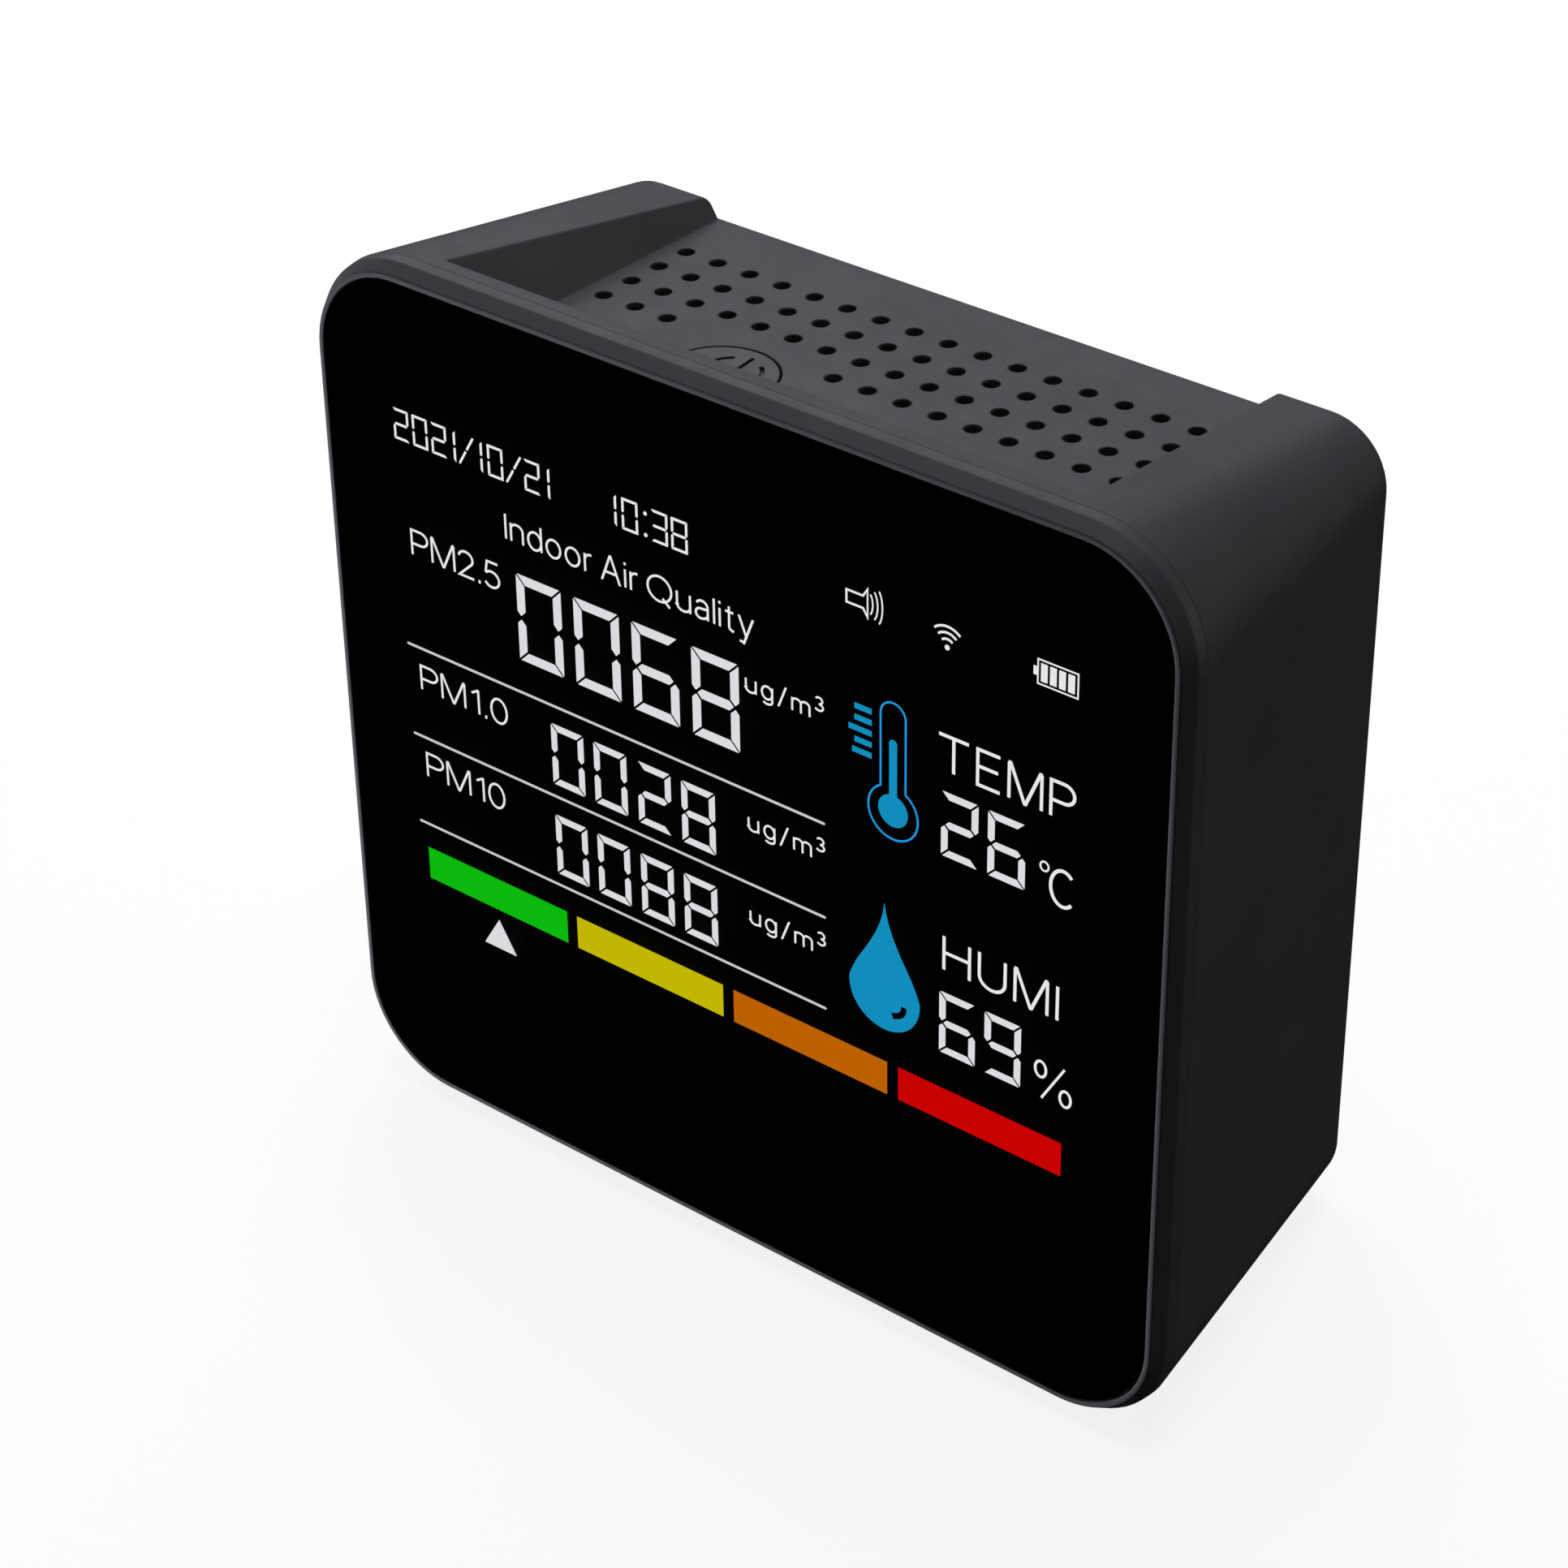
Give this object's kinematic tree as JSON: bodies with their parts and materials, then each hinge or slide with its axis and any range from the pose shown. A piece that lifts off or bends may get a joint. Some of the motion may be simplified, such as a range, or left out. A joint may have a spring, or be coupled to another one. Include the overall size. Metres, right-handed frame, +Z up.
{
  "type": "air quality monitor",
  "caption": "Desktop air quality monitor with a black glass segment display in a tapered case, a grilled recess and a push button in its top.",
  "frame": {"origin": "middle of the base, level with the bottom of the rubber feet", "axes": "+Z up, +X to the right of the display, +Y towards the back; the display faces -Y and leans back by 8.1 degrees"},
  "size_m": [0.0848, 0.0422, 0.0796],
  "materials": {
    "cover_glass": "polished clear cover glass",
    "black_ink": "black ink",
    "black_tape": "black tape",
    "case_plastic": "fine matt moulded plastic, charcoal",
    "button_plastic": "fine matt moulded plastic, charcoal",
    "display_film": "dark polariser film",
    "display_glass": "display pane",
    "light_guide": "milky light guide",
    "white_plastic": "white moulded plastic",
    "flex_film": "amber film",
    "circuit_board": "green solder mask",
    "chip_plastic": "black moulded epoxy",
    "shield_metal": "tinned steel",
    "capacitor_can": "aluminium can",
    "screw_steel": "dark plated steel",
    "sensor_plastic": "dark moulded plastic",
    "brass": "turned brass",
    "coil_copper": "enamelled copper winding",
    "foam": "black foam",
    "cable_jacket": "wire insulation",
    "battery_wrap": "silver laminate pouch",
    "dust_mesh": "fine black mesh",
    "foot_rubber": "black rubber"
  },
  "bodies": {
    "monitor": {"backlight": "light_guide", "battery_cell": "battery_wrap", "battery_guard": "circuit_board", "battery_leads": "cable_jacket", "battery_socket": "white_plastic", "battery_tape": "black_tape", "board_capacitors": "capacitor_can", "board_chips": "chip_plastic", "board_screws": "screw_steel", "button_switch": "chip_plastic", "buzzer": "chip_plastic", "case_screws": "screw_steel", "climate_board": "circuit_board", "climate_cable": "cable_jacket", "climate_chip": "chip_plastic", "climate_socket": "white_plastic", "fan_coils": "coil_copper", "fan_frame": "sensor_plastic", "front_frame": "case_plastic", "front_glass": "cover_glass", "grille_mesh": "dust_mesh", "inlet_gasket": "foam", "laser_module": "brass", "lcd_flex": "flex_film", "lcd_glass": "display_glass", "lcd_holder": "white_plastic", "lcd_polarizer": "display_film", "lens_adhesive": "black_tape", "main_board": "circuit_board", "mask_print": "black_ink", "mcu_chip": "chip_plastic", "photodiode": "chip_plastic", "rear_shell": "case_plastic", "rubber_feet": "foot_rubber", "sensor_board": "circuit_board", "sensor_cable": "cable_jacket", "sensor_case": "sensor_plastic", "sensor_lid": "shield_metal", "sensor_socket": "white_plastic", "usb_socket": "shield_metal", "usb_tongue": "chip_plastic", "wireless_module": "shield_metal"},
    "top_button": {"top_button": "button_plastic", "switch_plunger": "white_plastic"},
    "fan": {"fan_rotor": "sensor_plastic"}
  },
  "joints": [
    {"name": "button_press", "type": "slide", "parent": "monitor", "child": "top_button", "axis": [0, -0.1409, -0.99], "range_m": [0, 0.0004], "stiffness_N_per_m": 1500},
    {"name": "fan_spin", "type": "hinge", "parent": "monitor", "child": "fan", "pos_m": [0.012, 0.01098, 0.05439], "axis": [0, 0.99, -0.1409], "continuous": true}
  ]
}
